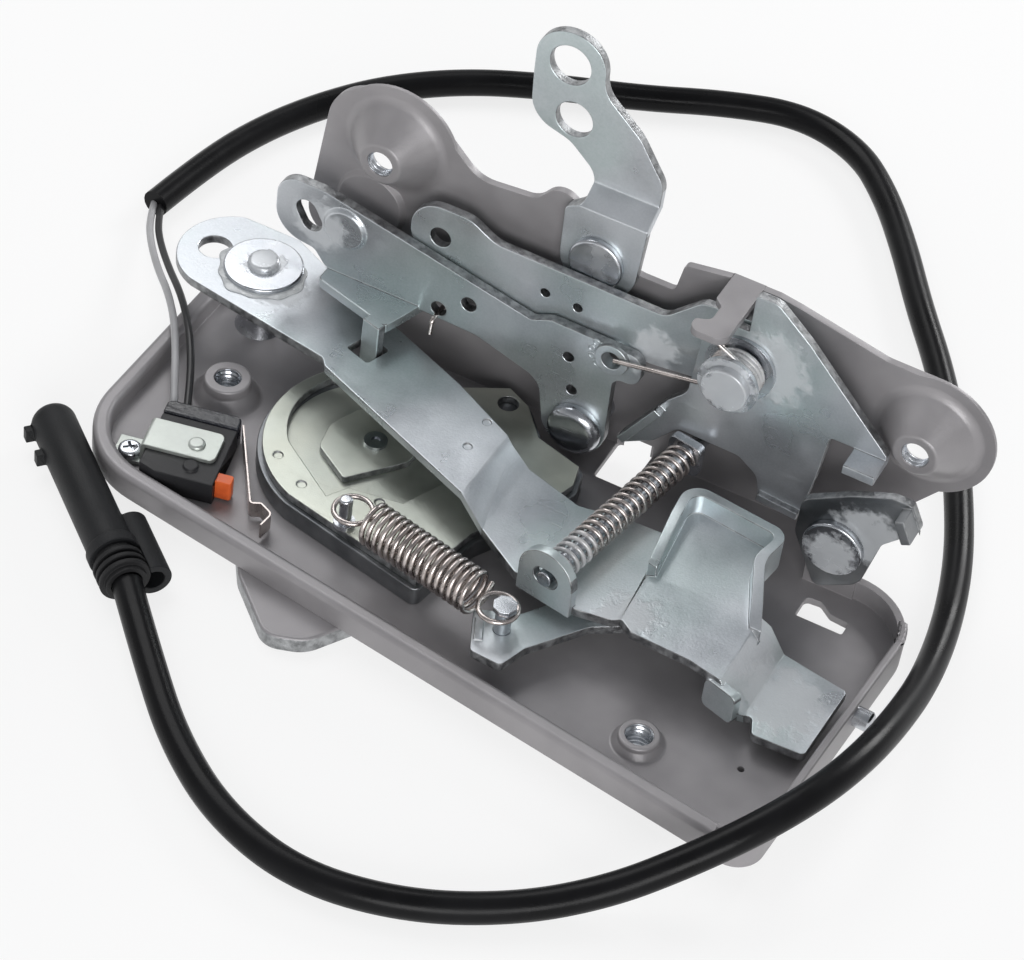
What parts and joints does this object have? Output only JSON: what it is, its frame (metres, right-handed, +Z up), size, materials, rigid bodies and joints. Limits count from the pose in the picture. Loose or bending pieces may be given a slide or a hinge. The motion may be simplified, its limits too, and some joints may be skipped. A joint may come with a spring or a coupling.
{
  "type": "car door lock",
  "caption": "Door lock for a car: a pressed steel base with an upright wall, levers, springs and a latch plate, and a switch with a loose cable and its connector.",
  "frame": {"origin": "on the axis of the left floor boss, at the face the lock rests on", "axes": "+X along the fold between floor and wall, +Y from the front rim to the upright wall, +Z up"},
  "size_m": [0.2462, 0.3125, 0.1182],
  "materials": {
    "coated_grey": "satin dip coating",
    "zinc_steel": "bright zinc plate, slightly blue",
    "yellow_zinc": "zinc plate with a faint yellow-green cast",
    "dark_steel": "zinc plate, dulled",
    "pin_steel": "bright turned steel",
    "spring_steel": "bright drawn wire",
    "bracket_steel": "matt zinc plate",
    "black_plastic": "fine grained",
    "potting_black": "cast resin, uneven",
    "orange_plastic": "moulded",
    "grey_insulation": "smooth",
    "black_insulation": "smooth",
    "cable_sheath": "smooth and slightly shiny",
    "connector_plastic": "fine grained",
    "connector_rubber": "matt"
  },
  "bodies": {
    "base": {"back_plate": "coated_grey", "base_plate": "coated_grey", "end_stub": "pin_steel", "lever_post": "pin_steel", "post_washer": "pin_steel", "guide_rod": "pin_steel", "return_spring": "spring_steel", "lower_lever_stud": "pin_steel", "tension_spring": "spring_steel", "spring_lug": "pin_steel", "latch_housing": "dark_steel", "latch_cover": "yellow_zinc", "locking_bar_pin": "pin_steel", "control_arm_pin": "pin_steel", "release_plate_pin": "pin_steel", "rear_washer": "pin_steel", "front_washer": "pin_steel", "torsion_spring": "spring_steel", "release_pawl_pin": "pin_steel", "switch_case": "black_plastic", "switch_potting": "potting_black", "switch_bracket": "bracket_steel", "switch_screw": "pin_steel", "switch_rivet": "bracket_steel", "grey_wire": "grey_insulation", "black_wire": "black_insulation", "cable": "cable_sheath", "connector_body": "connector_plastic", "connector_collar": "connector_rubber"},
    "main_lever": {"main_lever": "zinc_steel"},
    "lower_lever": {"lower_lever": "zinc_steel", "spring_peg": "pin_steel"},
    "locking_bar": {"locking_bar": "zinc_steel", "bar_wire": "spring_steel"},
    "link_bar": {"link_bar": "zinc_steel"},
    "release_plate": {"release_plate": "zinc_steel"},
    "control_arm": {"control_arm": "zinc_steel"},
    "release_pawl": {"release_pawl": "dark_steel"},
    "rotor": {"latch_rotor": "yellow_zinc", "rotor_stop": "yellow_zinc", "rotor_rivet": "pin_steel"},
    "plunger": {"switch_plunger": "orange_plastic"},
    "leaf": {"switch_leaf": "spring_steel"}
  },
  "joints": [
    {"name": "main_lever_pivot", "type": "hinge", "parent": "base", "child": "main_lever", "pos_m": [-0.0064, 0.027, 0.02325], "axis": [0, 0, 1], "range_deg": [-1.6, 1], "stiffness_Nm_per_rad": 2, "deforming": ["return_spring"]},
    {"name": "lower_lever_pivot", "type": "hinge", "parent": "base", "child": "lower_lever", "pos_m": [0.121, 0.001, 0.01325], "axis": [0, 0, 1], "range_deg": [-2, 1], "stiffness_Nm_per_rad": 1, "deforming": ["tension_spring"]},
    {"name": "locking_bar_pivot", "type": "hinge", "parent": "base", "child": "locking_bar", "pos_m": [0.081, 0.02885, 0.0165], "axis": [0, 1, 0], "range_deg": [-2, 2], "deforming": ["torsion_spring"]},
    {"name": "link_bar_pivot", "type": "hinge", "parent": "base", "child": "link_bar", "pos_m": [0.119, 0.03195, 0.0555], "axis": [0, 1, 0], "range_deg": [-1.5, 1.5]},
    {"name": "release_plate_pivot", "type": "hinge", "parent": "base", "child": "release_plate", "pos_m": [0.119, 0.02895, 0.0555], "axis": [0, 1, 0], "range_deg": [-1, 4], "stiffness_Nm_per_rad": 1.5},
    {"name": "control_arm_pivot", "type": "hinge", "parent": "base", "child": "control_arm", "pos_m": [0.077, 0.03645, 0.0615], "axis": [0, 1, 0], "range_deg": [0, 20]},
    {"name": "release_pawl_pivot", "type": "hinge", "parent": "base", "child": "release_pawl", "pos_m": [0.1528, 0.01895, 0.0237], "axis": [0, 1, 0], "range_deg": [-8, 8]},
    {"name": "rotor_pivot", "type": "hinge", "parent": "base", "child": "rotor", "pos_m": [0.0425, -0.0015, 0.011], "axis": [0, 0, 1], "range_deg": [0, 40]},
    {"name": "plunger_slide", "type": "slide", "parent": "base", "child": "plunger", "axis": [-0.9744, -0.225, 0], "range_m": [0, 0.0008], "stiffness_N_per_m": 2000},
    {"name": "leaf_flex", "type": "hinge", "parent": "base", "child": "leaf", "pos_m": [0.01154, -0.01225, 0.00975], "axis": [0, 0, 1], "range_deg": [-8, 0], "stiffness_Nm_per_rad": 0.05}
  ]
}
